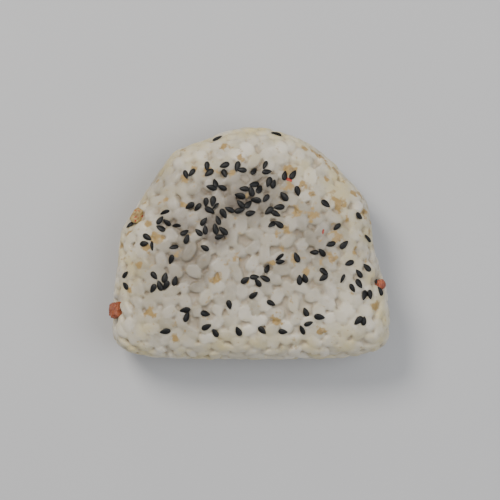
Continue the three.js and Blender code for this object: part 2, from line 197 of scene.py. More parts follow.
def cookedRice():
    # Boiled short-grain rice, steamed and pressed: a starch gel that light goes a millimetre into, so that
    # the creases glow instead of going black, with a moist, softly glossy skin. The belly of a grain is
    # chalky and its ends are clearer. In the creases where grains stick together the colour is painted a
    # greyer gel: painted shade, and partly the gel's own grey. Sauce collects there. Sauce also gives broad
    # parts of the rim a faint cream tinge.
    look = {
        # the gel colour is painted shade in the creases, and partly the gel's own greyer colour
        "clear": "#bcb39c", "chalky": "#d5cec0", "gelAndCreaseShade": "#ac9b84", "starch": "#9d9582", "wet": "#574c42",
        "tinge": "#c6b88c", "sauce": "#a08657", "deepSauce": "#7b623a",
        "mottle": {"patch": (2.6, 3.0), "tinge": (8.0, 3.0), "edge": (1.9, 3.0), "dimple": (1.5, 2.0),
                   "pit": (0.45, 2.0)},  # size in mm and detail
        "starchFrom": (0.2, 0.8), "tingeFrom": (0.42, 0.72),
        "sauceFrom": (1.02, 1.24), "deepSauceFrom": (1.55, 2.2),
        "ragged": 1.6,  # how far the mottle breaks up the edge of a stain
        "dimples": 2.0, "bump": 0.4, "reliefMm": 0.1,
        "glossFrom": (0.3, 0.7), "roughness": (0.32, 0.54), "ior": 1.39,
        "scatter": 0.6, "scatterMm": 0.9, "scatterReach": (1.0, 0.9, 0.65),
    }
    material, tree, place = newMaterial("cooked_short_grain_rice")
    painted = {name: addNode(tree, "Attribute", {"attribute_name": name}).outputs["Fac"]
               for name in ("chalk", "tone", "rim", "crease", "moist", "sauce")}
    mottle = {name: addNode(tree, "TexNoise", Vector=place, Scale=perMetre(sizeMm),
                            Detail=detail).outputs["Fac"]
              for name, (sizeMm, detail) in look["mottle"].items()}
    ragged = addNode(tree, "Math", {"operation": "MULTIPLY_ADD"},
                     _0=mottle["edge"], _1=look["ragged"], _2=painted["sauce"]).outputs[0]
    # the gel colour goes where the crease number is high: painted shade in the creases
    share = {"chalky": painted["chalk"], "gelAndCreaseShade": painted["crease"], "wet": painted["moist"]}
    for colour, value in (("starch", mottle["patch"]), ("tinge", mottle["tinge"]),
                          ("sauce", ragged), ("deepSauce", ragged)):
        low, high = look[colour + "From"]
        share[colour] = addNode(tree, "MapRange", Value=value, From_Min=low, From_Max=high).outputs["Result"]
    for colour, where in (("starch", "tone"), ("tinge", "rim")):
        share[colour] = addNode(tree, "Math", {"operation": "MULTIPLY"},
                                _0=painted[where], _1=share[colour]).outputs[0]
    body = linear(look["clear"])
    for colour in ("chalky", "starch", "tinge", "gelAndCreaseShade", "wet", "sauce", "deepSauce"):
        body = addNode(tree, "Mix", colourMix, _0=share[colour], _6=body, _7=linear(look[colour])).outputs[2]
    relief = addNode(tree, "Math", {"operation": "MULTIPLY_ADD"},
                     _0=mottle["dimple"], _1=look["dimples"], _2=mottle["pit"]).outputs[0]
    bump = addNode(tree, "Bump", Strength=look["bump"], Distance=look["reliefMm"] * metresPerMm,
                   Height=relief).outputs["Normal"]
    gloss = addNode(tree, "MapRange", Value=mottle["patch"],
                    From_Min=look["glossFrom"][0], From_Max=look["glossFrom"][1],
                    To_Min=look["roughness"][0], To_Max=look["roughness"][1]).outputs["Result"]
    shader = addNode(tree, "BsdfPrincipled", Base_Color=body, Roughness=gloss, Normal=bump,
                     IOR=look["ior"], Subsurface_Weight=look["scatter"],
                     Subsurface_Radius=look["scatterReach"],
                     Subsurface_Scale=look["scatterMm"] * metresPerMm).outputs[0]
    addNode(tree, "OutputMaterial", Surface=shader)
    return material


def sesameHull():
    # Roasted black sesame: a dry, thin, finely pitted hull, nearly black, with a dull sheen on its crown
    look = {
        "hull": "#090909", "faded": "#141414", "rubbed": "#292828",
        "patchMm": 1.0, "fadedFrom": (0.35, 0.7), "pitMm": 0.22, "bump": 0.5, "reliefMm": 0.05,
        "roughness": 0.48, "specular": 0.26,
    }
    material, tree, place = newMaterial("roasted_black_sesame")
    patches, pits = [addNode(tree, "TexNoise", Vector=place, Scale=perMetre(sizeMm),
                             Detail=detail).outputs["Fac"]
                     for sizeMm, detail in ((look["patchMm"], 3.0), (look["pitMm"], 1.0))]
    faded = addNode(tree, "MapRange", Value=patches, From_Min=look["fadedFrom"][0],
                    From_Max=look["fadedFrom"][1]).outputs["Result"]
    rubbed = addNode(tree, "Attribute", {"attribute_name": "rubbed"}).outputs["Fac"]
    body = linear(look["hull"])
    for share, colour in ((faded, "faded"), (rubbed, "rubbed")):
        body = addNode(tree, "Mix", colourMix, _0=share, _6=body, _7=linear(look[colour])).outputs[2]
    bump = addNode(tree, "Bump", Strength=look["bump"], Distance=look["reliefMm"] * metresPerMm,
                   Height=pits).outputs["Normal"]
    shader = addNode(tree, "BsdfPrincipled", Base_Color=body, Normal=bump,
                     Roughness=look["roughness"], Specular_IOR_Level=look["specular"]).outputs[0]
    addNode(tree, "OutputMaterial", Surface=shader)
    return material


def glazedChicken(name, pale, deep, speck):
    # Cooked chicken thigh in a soy glaze: red-brown fibres with paler meat between them, wet and glossy,
    # with specks of chilli skin. The crumbs of crust and the flecks of chilli have the same wet glaze.
    look = {
        "patchMm": 1.4, "deepFrom": (0.38, 0.66), "speckMm": 0.9, "speckFrom": (0.63, 0.66),
        "fibreMm": 0.5, "bump": 0.6, "reliefMm": 0.15, "roughness": 0.48,
        "scatter": 0.15, "scatterMm": 0.8, "scatterReach": (1.0, 0.4, 0.25),
        "glaze": 0.06, "glazeRoughness": 0.25,
    }
    material, tree, place = newMaterial(name)
    patches, specks, fibres = [addNode(tree, "TexNoise", Vector=place, Scale=perMetre(sizeMm),
                                       Detail=detail).outputs["Fac"]
                               for sizeMm, detail in ((look["patchMm"], 4.0), (look["speckMm"], 1.0),
                                                      (look["fibreMm"], 3.0))]
    body = linear(pale)
    for value, where, colour in ((patches, "deepFrom", deep), (specks, "speckFrom", speck)):
        low, high = look[where]
        share = addNode(tree, "MapRange", Value=value, From_Min=low, From_Max=high).outputs["Result"]
        body = addNode(tree, "Mix", colourMix, _0=share, _6=body, _7=linear(colour)).outputs[2]
    bump = addNode(tree, "Bump", Strength=look["bump"], Distance=look["reliefMm"] * metresPerMm,
                   Height=fibres).outputs["Normal"]
    shader = addNode(tree, "BsdfPrincipled", Base_Color=body, Normal=bump, Roughness=look["roughness"],
                     Subsurface_Weight=look["scatter"], Subsurface_Radius=look["scatterReach"],
                     Subsurface_Scale=look["scatterMm"] * metresPerMm,
                     Coat_Weight=look["glaze"], Coat_Roughness=look["glazeRoughness"]).outputs[0]
    addNode(tree, "OutputMaterial", Surface=shader)
    return material


def paintedBoard():
    # Board with a matt pale grey paint, rolled on, with the faintest mottle
    look = {"paint": "#b7b7b9", "thin": "#bbbbbc", "patchMm": 40.0, "roughness": 0.8}
    material, tree, place = newMaterial("pale_grey_board")
    patches = addNode(tree, "TexNoise", Vector=place, Scale=perMetre(look["patchMm"]),
                      Detail=2.0).outputs["Fac"]
    body = addNode(tree, "Mix", colourMix, _0=patches, _6=linear(look["paint"]),
                   _7=linear(look["thin"])).outputs[2]
    shader = addNode(tree, "BsdfPrincipled", Base_Color=body, Roughness=look["roughness"]).outputs[0]
    addNode(tree, "OutputMaterial", Surface=shader)
    return material


riceMaterial = cookedRice()
print("materials ready")

# Rice

rice = {  # lengths in mm; a pair is the least and the most
    "start": 31,  # of the random draws
    "halfLength": (2.8, 3.5),  # short-grain rice swells to about 6.4 mm
    "halfWidth": (1.75, 2.1),
    "halfThickness": (1.5, 1.8),
    "brokenShare": 0.14,  # grains that broke in the pot or the press
    "brokenLength": (0.55, 0.8),
    "outer": {"depth": 1.05, "uneven": 0.8, "spacing": 3.2, "mostTilt": 0.45, "rings": 9, "around": 12,
              "inset": (0.0, 0.35)},  # how far under the mould's face a grain is pressed flat
    "inner": {"depth": 2.9, "uneven": 1.0, "spacing": 3.6, "mostTilt": 0.9, "rings": 7, "around": 10,
              "inset": (0.5, 1.2)},
    "settle": {"rounds": 50, "relook": 6, "reach": 7.6, "squeeze": 0.88, "push": 1.2, "toDepth": 0.6,
               "toLevel": 0.7, "leastArm": 0.2},  # neighbours sink into each other to the share squeeze
    "sideDeeper": 0.5,  # round the side, which nothing pressed, all lies deeper by this
    "sideFrom": 0.55, "sideOver": 0.35,  # the side begins where the way out leans over like this
    "scrapRoom": 1.3,  # no grain's middle is closer than this to a scrap of filling
    "paste": 1.45,  # crushed rice fills everything below this depth
    "pasteLumps": 0.45, "pasteLumpLong": 2.8,
    "skinStep": 0.4,  # of the mesh that joins the grains
    "mostTriangles": 190000,
    "rimFrom": 0.6, "rimOver": 0.3,  # shares of the way out to the outline
    "soften": 0.2, "rimSoften": 0.3, "softenRounds": 3,
    "calm": 0.6, "calmRounds": 7,  # the smoothed skin that creases are measured from
    # how deep a hollow must be for the full painted shade of a crease, and where that shade begins
    "creaseDeep": 0.24, "creaseFrom": 0.05,
}

# how a cooked grain differs from a smooth spindle, as shares of its own size where it doesn't say mm
grainForm = {
    "plumpness": (2.2, 3.2), "blunt": 2.1,
    "taper": (-0.12, 0.12),
    "groove": (0.02, 0.09), "grooveWide": 0.45,
    "notch": (0.0, 0.34), "notchAt": 0.82, "notchLong": 0.24, "notchWide": 0.9, "notchShortens": 0.4,
    "lumps": ((0.05, (2, 5), 2), (0.035, (4, 8), 3)),  # how high, waves along and lobes round
    "brokenAt": (0.45, 0.8), "brokenRagged": 0.08,
    "bendMm": (-0.5, 0.5), "archMm": (-0.1, 0.45), "bendMiddle": 0.35,
    "roll": 0.35,  # radians
}
anyPhase = (0, 6)  # radians, nearly a full turn

# what the grains' colours hang on
riceTones = {
    "toneLean": 1.4,  # over 1, fewer grains are starchy
    "moist": 0.72, "moistOwn": 0.2,  # in a wet part, for all and more for a starchy grain
    "wetEdge": 5,  # how sharply a wet part ends
    # in a crease the chalk is taken away by this share, which is painted shade
    "belly": (0.2, 1), "allOver": (0, 0.35), "chalkLostToCreaseShade": 0.5,  # chalk, and how much a crease takes
    "stain": 0.6, "stainInCrease": 0.6,
}

# brown sauce that has seeped out between the grains: x, y and reach in mm
sauceSpots = [
    (17.4, 30.1, 1.3), (21.9, 28.2, 1.9), (23.8, 26.2, 1.6), (26.8, 23.7, 1.6), (32.4, 16.3, 1.6),
    (35.2, 15.4, 1.6), (26.2, 14.2, 1.3), (28.2, 12.7, 2.6), (36.3, 10.2, 2.1), (30.3, 7, 1.2),
    (27.7, 1.7, 2.2), (25.6, -4.7, 1.8), (19.2, 15.2, 1.9), (16.5, 18.5, 1.7), (19.6, 9.3, 1.7),
    (14.6, 10, 2), (18.9, 6.9, 1.1), (12.2, 23.5, 2.1), (10.8, 5.2, 1.6), (8.1, 2.2, 1.1),
    (10, -1.8, 1.2), (13.2, -4.9, 1.5), (17.2, -8.7, 1.4), (21.9, -5.7, 1.2), (6.5, -6, 1),
    (-1.2, -11.8, 1.1), (-4.4, -4.9, 1.1), (-11.6, -12, 2.2), (-3.7, 26.9, 1.4), (-8.2, 31.3, 1.6),
    (-14.8, 34.5, 1.3), (-21.4, 30.1, 1.6), (-30, 20, 1.2), (-36.3, 9.2, 2), (-41.7, -0.3, 1.8),
    (-41, -4.4, 1.4), (-32.8, -1.6, 2), (-35.4, -6.5, 1.3), (-23.3, -4.1, 1.3),
    (-31.6, -21.8, 2.2), (-24, -30, 1.6), (40, -2, 1.6), (39.5, -20, 1.8), (8, -24, 1.8),
    (-14, -22, 1.5), (22, -28, 1.6), (38, 4, 1.3), (-38.8, -15, 1.6), (11.8, 17.6, 2),
    (23.9, 20.3, 1.5), (32.7, -2.9, 1.3), (-30, 2, 1.9), (-32.6, 6.2, 1.2), (-27.1, 14, 1.3),
    (-13, 22.6, 1.7), (-5.9, 22.2, 1.6), (-21.2, 20.3, 1.2), (-21.5, 12.4, 1.2), (-17.8, 23.8, 1.3),
    (29.5, 20.6, 1.6), (20.2, 29.4, 1.6), (38.4, 7.2, 1.6), (-34.4, 13, 1.4), (-39.6, 3.4, 1.4),
]
sideStains = {"tried": 110, "start": 12, "reachMm": (0.8, 2)}  # strewn below the face

# the crumbs of crust that the sauce brought, and flecks of chilli: x and y in mm
crumbs = {
    "start": 23,
    "spots": [
        (19.2, 15.6), (14.6, 10), (16.3, 18.3), (28.6, 12.7), (36.6, 10), (21.9, 28),
        (27.8, 1.2), (12.9, 23.3), (-36.4, 9), (-12.2, -11.8), (25.6, -4.9), (10.9, 5),
        (-41.4, -0.6), (22.4, -27.8),
    ],
    "chilli": [(22.7, 3.7), (11.4, 20.3), (-35.8, 9.4), (12.2, 20)],
    "crustColours": ("#a58d62", "#87704a", "#70573a"),  # pale, deep and of the specks
    "chilliColours": ("#b8402c", "#93281c", "#7d2018"),
    "crumbMm": (0.7, 1.15), "fleckMm": (0.85, 1.05),
    "narrow": (0.45, 0.85),
    "lobes": ((2, 0.22), (5, 0.14)),  # how many round the edge, and how far out
    "thickMm": 0.3, "uneven": (0.6, 1.2), "edgeSunkMm": 0.12,
    "rings": 6, "around": 16,
    "aboveMm": 3, "lookDownMm": 6, "missedMm": 3.5,  # of the rays that lay them on the grains
}

# where the rice is wet, so darker and clearer: x, y, half width, half height (mm), how wet
wetPatches = [
    (-10.8, 4, 4.8, 6.6, 1.3), (-2.6, 13.2, 5.8, 5, 1.3), (-4.5, 14, 19, 11, 0.86),
    (3, -3, 32, 18, 0.48), (-20.5, -6, 11, 11, 0.75), (-24, 17, 10, 8, 0.5), (19, 2, 12, 11, 0.62),
    (-22, 7, 7, 7, 0.78), (-31, -11, 7, 12, 0.5), (-22, -21, 13, 9, 0.45),
]

# scraps of chicken that came through to the face near its edge; a size in mm runs level, up the face and
# into the rice
scraps = {
    "filling_scrap_left": {
        "at": (-43.5, -21.2), "size": (5.2, 4.8, 4.6), "sunk": 0.8, "fibre": (0.2, 1.0, 0.3),
        "pale": "#9a532e", "deep": "#773821", "speck": "#8e502d"},
    "filling_scrap_right": {
        "at": (41.5, -12.9), "size": (3.2, 3.0, 2.8), "sunk": 0.5, "fibre": (1.0, 0.3, 0.2),
        "pale": "#a0502f", "deep": "#783522", "speck": "#a8633b"},
    "filling_scrap_upper_left": {
        "at": (-36.6, 9.2), "size": (5.0, 3.2, 3.0), "sunk": 0.7, "fibre": (1.0, 0.2, 0.2),
        "pale": "#b39a63", "deep": "#8a6c3e", "speck": "#9e2f1c"},
}


def faceHeight(x, y, lastShare=0.995):
    # at the very rim the face stands upright, so what lies there or beyond counts as just inside it
    share = np.minimum(np.hypot(x, y) / outlineReach(x, y), lastShare)
    squareness = mould["faceSquareness"]
    return mould["belt"] + faceRise * (1 - share ** squareness) ** (1 / squareness)


def onFace(x, y):
    # the place on the face over a point, and the way out of the rice there
    place = np.array([x, y, faceHeight(x, y)])
    return place, mouldDepth(place[None])[1][0]


def scrapSeat(scrap):
    # its middle, its directions and half its size along them
    place, outward = onFace(*scrap["at"])
    level = unit(np.array([-place[1], place[0], 0.0]))
    upFace = unit(np.cross(outward, level))
    axes = np.array([np.cross(upFace, outward), upFace, outward])
    return place - scrap["sunk"] * outward, axes, np.array(scrap["size"]) / 2


def sideDepth(outward):
    # from 0 over the upper face to sideDeeper round the side
    return rice["sideDeeper"] * (1 - np.clip((outward[:, 2] - rice["sideFrom"]) / rice["sideOver"], 0, 1))


def ontoMould(ways):
    # from the middle of the belt out to the mould's face, into its corners too
    ways = ways * (mould["width"] / 2, mould["height"] / 2, mould["thickness"] / 2)
    belt = np.array([0, 0, mould["belt"]])
    return ways / mouldFill(ways + belt)[:, None] + belt


def spreadOverMould(layer, draw, tries=9000):
    # places a spacing apart, all over the ball at one depth
    places = atDepth(ontoMould(unit(draw.normal(size=(tries, 3)))), layer["depth"], 6)
    kept = np.empty((0, 3))
    for place in places:
        if not len(kept) or np.min(np.sum((kept - place) ** 2, axis=1)) > layer["spacing"] ** 2:
            kept = np.vstack([kept, place])
    return kept


def layGrains(layer, draw):
    middle = spreadOverMould(layer, draw)
    count = len(middle)
    deeper = sideDepth(mouldDepth(middle)[1])
    grains = {
        "middle": middle,
        "heading": unit(draw.normal(size=(count, 3))),
        "halfLength": draw.uniform(*rice["halfLength"], count),
        "halfWidth": draw.uniform(*rice["halfWidth"], count),
        "halfThickness": draw.uniform(*rice["halfThickness"], count),
        "depth": layer["depth"] + draw.uniform(-0.5, 0.5, count) * layer["uneven"] + deeper,
        "tilt": draw.uniform(-1, 1, count) * layer["mostTilt"],
    }
    broken = draw.uniform(size=count) < rice["brokenShare"]
    whole = grains["halfLength"]
    grains["halfLength"] = np.where(broken, whole * draw.uniform(*rice["brokenLength"], count), whole)
    grains["broken"] = broken
    return grains


def settleGrains(grains):
    # each grain is three balls in a row; neighbours push each other apart, and the mould holds their depth
    settle = rice["settle"]
    count = len(grains["middle"])
    radius = (grains["halfWidth"] + grains["halfThickness"]) / 2
    arm = np.maximum(grains["halfLength"] - radius, settle["leastArm"])
    sides = np.array([-1.0, 0.0, 1.0])
    for turn in range(settle["rounds"]):
        middle, heading = grains["middle"], grains["heading"]
        if turn % settle["relook"] == 0:
            gaps = np.linalg.norm(middle[:, None] - middle[None], axis=2)
            first, second = np.where(np.triu(gaps < settle["reach"], 1))
        balls = middle[:, None] + heading[:, None] * (arm[:, None] * sides)[..., None]
        apart = balls[first][:, :, None] - balls[second][:, None]
        distance = np.maximum(np.linalg.norm(apart, axis=3), 1e-6)
        wanted = (radius[first] + radius[second])[:, None, None] * settle["squeeze"]
        overlap = np.maximum(wanted - distance, 0)
        push = apart / distance[..., None] * (overlap / 2)[..., None]
        move, swing = np.zeros((count, 3)), np.zeros((count, 3))
        touching = np.zeros(count)
        for who, onEach, sign in ((first, push.sum(2), 1), (second, push.sum(1), -1)):
            touching += np.bincount(who, (overlap > 0).any((1, 2)), count)
            for axis in range(3):
                move[:, axis] += sign * np.bincount(who, onEach.sum(1)[:, axis], count)
                swing[:, axis] += sign * np.bincount(who, (onEach * sides[:, None]).sum(1)[:, axis], count)
        ease = 1 / np.maximum(touching, 1)[:, None]
        middle = middle + move * ease * settle["push"]
        heading = unit(heading + swing * ease / arm[:, None])
        now, outward, _ = mouldDepth(middle)
        middle = middle + ((now - grains["depth"]) * settle["toDepth"])[:, None] * outward
        lean = np.sum(heading * outward, axis=1)
        wantedLean = np.clip(lean, -np.abs(grains["tilt"]), np.abs(grains["tilt"]))
        heading = unit(heading + ((wantedLean - lean) * settle["toLevel"])[:, None] * outward)
        grains["middle"], grains["heading"] = middle, heading
    return grains


def grainSkin(rings, around):
    # the way along and the turn round for each vertex of a grain, and its triangles and quads
    along = [-1.0]
    turn = [0.0]
    for ring in range(1, rings):
        for k in range(around):
            along.append(-math.cos(math.pi * ring / rings))
            turn.append(2 * math.pi * (k + 0.5 * (ring % 2)) / around)
    along.append(1.0)
    turn.append(0.0)
    faces = []
    last = len(along) - 1
    for k in range(around):
        following = (k + 1) % around
        faces.append((0, 1 + following, 1 + k))
        low = last - around
        faces.append((last, low + k, low + following))
        for ring in range(rings - 2):
            here, there = 1 + ring * around, 1 + (ring + 1) * around
            if ring % 2 == 0:  # this ring is turned by half a step, the next isn't
                faces.append((here + k, there + following, there + k))
                faces.append((here + k, here + following, there + following))
            else:
                faces.append((here + k, here + following, there + k))
                faces.append((here + following, there + following, there + k))
    return np.array(along), np.array(turn), np.array(faces)


def grainShapes(grains, layer, draw):
    # every grain differs a little: tapered, bent, with the notch that the germ left, a groove and low lumps
    form = grainForm
    count = len(grains["middle"])
    along, turn, faces = grainSkin(layer["rings"], layer["around"])

    def each(low, high):
        return draw.uniform(low, high, count)[:, None]

    t, phi = along[None], turn[None]
    plumpness = each(*form["plumpness"])
    girth = (1 - np.abs(t) ** plumpness) ** (1 / form["blunt"])
    girth = girth * (1 + each(*form["taper"]) * t)
    groove = np.exp(-((phi - math.pi / 2) / form["grooveWide"]) ** 2) * (1 - t ** 2)
    girth = girth * (1 - each(*form["groove"]) * groove)
    notchTurn = each(0, 2 * math.pi)
    fromNotch = np.arctan2(np.sin(phi - notchTurn), np.cos(phi - notchTurn))
    notch = each(*form["notch"]) * np.exp(
        -((t - form["notchAt"]) / form["notchLong"]) ** 2 - (fromNotch / form["notchWide"]) ** 2)
    lumps = 0
    for height, waves, lobes in form["lumps"]:
        alongWave = np.sin(each(*waves) * t + each(*anyPhase))
        lumps = lumps + height * alongWave * np.cos(lobes * phi + each(*anyPhase))
    girth = girth * (1 - notch) * (1 + lumps)
    length = t * grains["halfLength"][:, None] * (1 - form["notchShortens"] * notch)
    pastTheEnd = 2.0
    cut = np.where(grains["broken"], draw.uniform(*form["brokenAt"], count), pastTheEnd)[:, None]
    ragged = cut + form["brokenRagged"] * np.sin(3 * phi + each(*anyPhase))
    length = np.minimum(length, ragged * grains["halfLength"][:, None])
    sideways = girth * np.cos(phi) * grains["halfWidth"][:, None]
    upward = girth * np.sin(phi) * grains["halfThickness"][:, None]
    sideways = sideways + each(*form["bendMm"]) * (t ** 2 - form["bendMiddle"])
    upward = upward - each(*form["archMm"]) * (t ** 2 - form["bendMiddle"])

    _, outward, _ = mouldDepth(grains["middle"])
    heading = grains["heading"]
    side = unit(np.cross(outward, heading))
    roll = draw.normal(0, form["roll"], count)[:, None]
    top = np.cross(heading, side)
    side, top = side * np.cos(roll) + top * np.sin(roll), top * np.cos(roll) - side * np.sin(roll)
    points = (grains["middle"][:, None] + length[..., None] * heading[:, None]
              + sideways[..., None] * side[:, None] + upward[..., None] * top[:, None])
    return points, faces


def pressed(points, layer, draw):
    # what would stand out of the mould or under the table is flattened against it
    depth, outward, overTable = mouldDepth(points)
    inset = draw.uniform(*layer["inset"], len(points))[:, None]
    inset = np.where(overTable, 0.0, inset)
    return points - outward * np.maximum(inset - depth, 0)[..., None]


def rawGrains(name, draw):
    layer = rice[name]
    grains = settleGrains(layGrains(layer, draw))
    clear = np.ones(len(grains["middle"]), bool)
    for scrap in scraps.values():
        middle, axes, half = scrapSeat(scrap)
        away = (grains["middle"] - middle) @ axes.T / (half + rice["scrapRoom"])
        clear &= np.linalg.norm(away, axis=1) > 1
    grains = {name: values[clear] for name, values in grains.items()}
    points, faces = grainShapes(grains, layer, draw)
    points = pressed(points, layer, draw)
    count, corners = points.shape[:2]
    print(name, count, "grains")
    faces = faces[None] + (np.arange(count) * corners)[:, None, None]
    return grains, points.reshape(-1, 3), faces.reshape(-1, 3)


def paste():
    # the crushed mass that the whole grains are stuck to
    shape = bmesh.new()
    bmesh.ops.create_icosphere(shape, subdivisions=6, radius=1)
    points = np.array([corner.co for corner in shape.verts])
    faces = np.array([[corner.index for corner in face.verts] for face in shape.faces])
    shape.free()
    points = ontoMould(points)
    lumps = np.array([noise.noise(Vector(place / rice["pasteLumpLong"])) for place in points])
    points = atDepth(points, rice["paste"], 8)
    depth = rice["paste"] + rice["pasteLumps"] * lumps + sideDepth(mouldDepth(points)[1])
    return atDepth(points, depth), faces


def joined(points, faces):
    # one skin over everything that overlaps, as sticky grains have, at a step of skinStep
    mesh = bpy.data.meshes.new("loose")
    mesh.from_pydata(points.tolist(), [], faces.tolist())
    holder = bpy.data.objects.new("loose", mesh)
    bpy.context.scene.collection.objects.link(holder)
    remesh = holder.modifiers.new("join", "REMESH")
    remesh.mode = "VOXEL"
    remesh.voxel_size = rice["skinStep"]
    skin = holder.evaluated_get(bpy.context.evaluated_depsgraph_get()).to_mesh()
    triangles = sum(len(face.vertices) - 2 for face in skin.polygons)
    print("joined skin", triangles, "triangles")
    decimate = holder.modifiers.new("thin", "DECIMATE")
    decimate.ratio = min(1, rice["mostTriangles"] / triangles)
    skin = holder.evaluated_get(bpy.context.evaluated_depsgraph_get()).to_mesh()
    found = np.empty(len(skin.vertices) * 3)
    skin.vertices.foreach_get("co", found)
    skin.calc_loop_triangles()
    sides = np.empty(len(skin.loop_triangles) * 3, np.int32)
    skin.loop_triangles.foreach_get("vertices", sides)
    holder.to_mesh_clear()
    bpy.data.objects.remove(holder)
    bpy.data.meshes.remove(mesh)
    return found.reshape(-1, 3), sides.reshape(-1, 3)


def smoothed(points, edges, strength, rounds):
    # every corner moves towards the middle of its neighbours
    count = len(points)
    share = np.maximum(np.bincount(edges.ravel(), minlength=count), 1)
    for _ in range(rounds):
        around = np.stack([np.bincount(edges[:, 0], points[edges[:, 1], k], count)
                           + np.bincount(edges[:, 1], points[edges[:, 0], k], count) for k in range(3)], -1)
        points = points + (around / share[:, None] - points) * strength
    return points


def sauceAt(points, crease):
    # how much sauce has soaked in: in blotches, and most of it in the creases
    draw = np.random.default_rng(sideStains["start"])
    blotches = [(onFace(x, y)[0], reach) for x, y, reach in sauceSpots]
    for place in points[draw.choice(len(points), sideStains["tried"])]:
        if place[2] < mould["belt"]:
            blotches.append((place, draw.uniform(*sideStains["reachMm"])))
    amount = np.zeros(len(points))
    for place, reach in blotches:
        away = np.linalg.norm(points - place, axis=1)
        amount = np.maximum(amount, np.exp(-(away / reach) ** 2))
    return amount * (riceTones["stain"] + riceTones["stainInCrease"] * crease)


def wetAt(points):
    amount = np.zeros(len(points))
    for x, y, halfWidth, halfHeight, wetness in wetPatches:
        away = np.hypot((points[:, 0] - x) / halfWidth, (points[:, 1] - y) / halfHeight)
        amount = np.maximum(amount, wetness / (1 + np.exp((away - 1) * riceTones["wetEdge"])))
    return np.minimum(amount, 1.0) * (points[:, 2] > mould["belt"])


def riceMass():
    draw = np.random.default_rng(rice["start"])
    outer, outerPoints, outerFaces = rawGrains("outer", draw)
    inner, innerPoints, innerFaces = rawGrains("inner", draw)
    pastePoints, pasteFaces = paste()
    loose = np.concatenate([outerPoints, innerPoints])
    looseFaces = np.concatenate([outerFaces, innerFaces + len(outerPoints)])
    points, faces = joined(np.concatenate([loose, pastePoints]),
                           np.concatenate([looseFaces, pasteFaces + len(loose)]))
    edges = np.unique(np.sort(faces[:, [0, 1, 1, 2, 2, 0]].reshape(-1, 2), axis=1), axis=0)
    wayOut = np.hypot(points[:, 0], points[:, 1]) / outlineReach(points[:, 0], points[:, 1])
    rim = np.clip((wayOut - rice["rimFrom"]) / rice["rimOver"], 0, 1)
    softer = rice["soften"] + rice["rimSoften"] * rim
    points = smoothed(points, edges, softer[:, None], rice["softenRounds"])
    depth, outward, _ = mouldDepth(points)
    points = points + outward * np.minimum(depth, 0)[:, None]

    # the hollows between grains, which the material darkens as painted shade
    calm = smoothed(points, edges, rice["calm"], rice["calmRounds"])
    hollow = np.sum((calm - points) * outward, axis=1)
    crease = np.clip(hollow / rice["creaseDeep"] - rice["creaseFrom"], 0, 1)
    grains = {name: np.concatenate([outer[name], inner[name]]) for name in outer}
    count = len(grains["middle"])
    outerCount, innerCount = len(outer["middle"]), len(inner["middle"])
    owner = np.repeat(np.arange(count), [len(outerFaces) // outerCount] * outerCount
                      + [len(innerFaces) // innerCount] * innerCount)
    loose = BVHTree.FromPolygons(loose.tolist(), looseFaces.tolist())
    nearest = owner[[loose.find_nearest(Vector(point))[2] for point in points]]
    along = np.sum((points - grains["middle"][nearest]) * grains["heading"][nearest], axis=1)
    along = np.clip(along / grains["halfLength"][nearest], -1, 1)

    def eachGrain(low, high):
        # a number for each grain, on every corner that is nearest to it
        return draw.uniform(low, high, count)[nearest]

    piece = meshPiece("rice_grains", points, faces, riceMaterial)
    ownTone = eachGrain(0, 1) ** riceTones["toneLean"]
    paint(piece, "tone", ownTone)
    paint(piece, "moist", wetAt(points) * (riceTones["moist"] + riceTones["moistOwn"] * ownTone))
    paint(piece, "rim", rim)
    belly = eachGrain(*riceTones["belly"]) * (1 - along ** 2) + eachGrain(*riceTones["allOver"])
    # less chalk and the gel colour in the creases are painted shade
    paint(piece, "chalk", np.clip(belly * (1 - riceTones["chalkLostToCreaseShade"] * crease), 0, 1))
    paint(piece, "crease", crease)
    paint(piece, "sauce", sauceAt(points, crease))
    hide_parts("rice_ball")
    print("rice", len(points), "points,", len(faces), "triangles")
    return BVHTree.FromPolygons(points.tolist(), faces.tolist())


riceSurface = riceMass()

# Black sesame

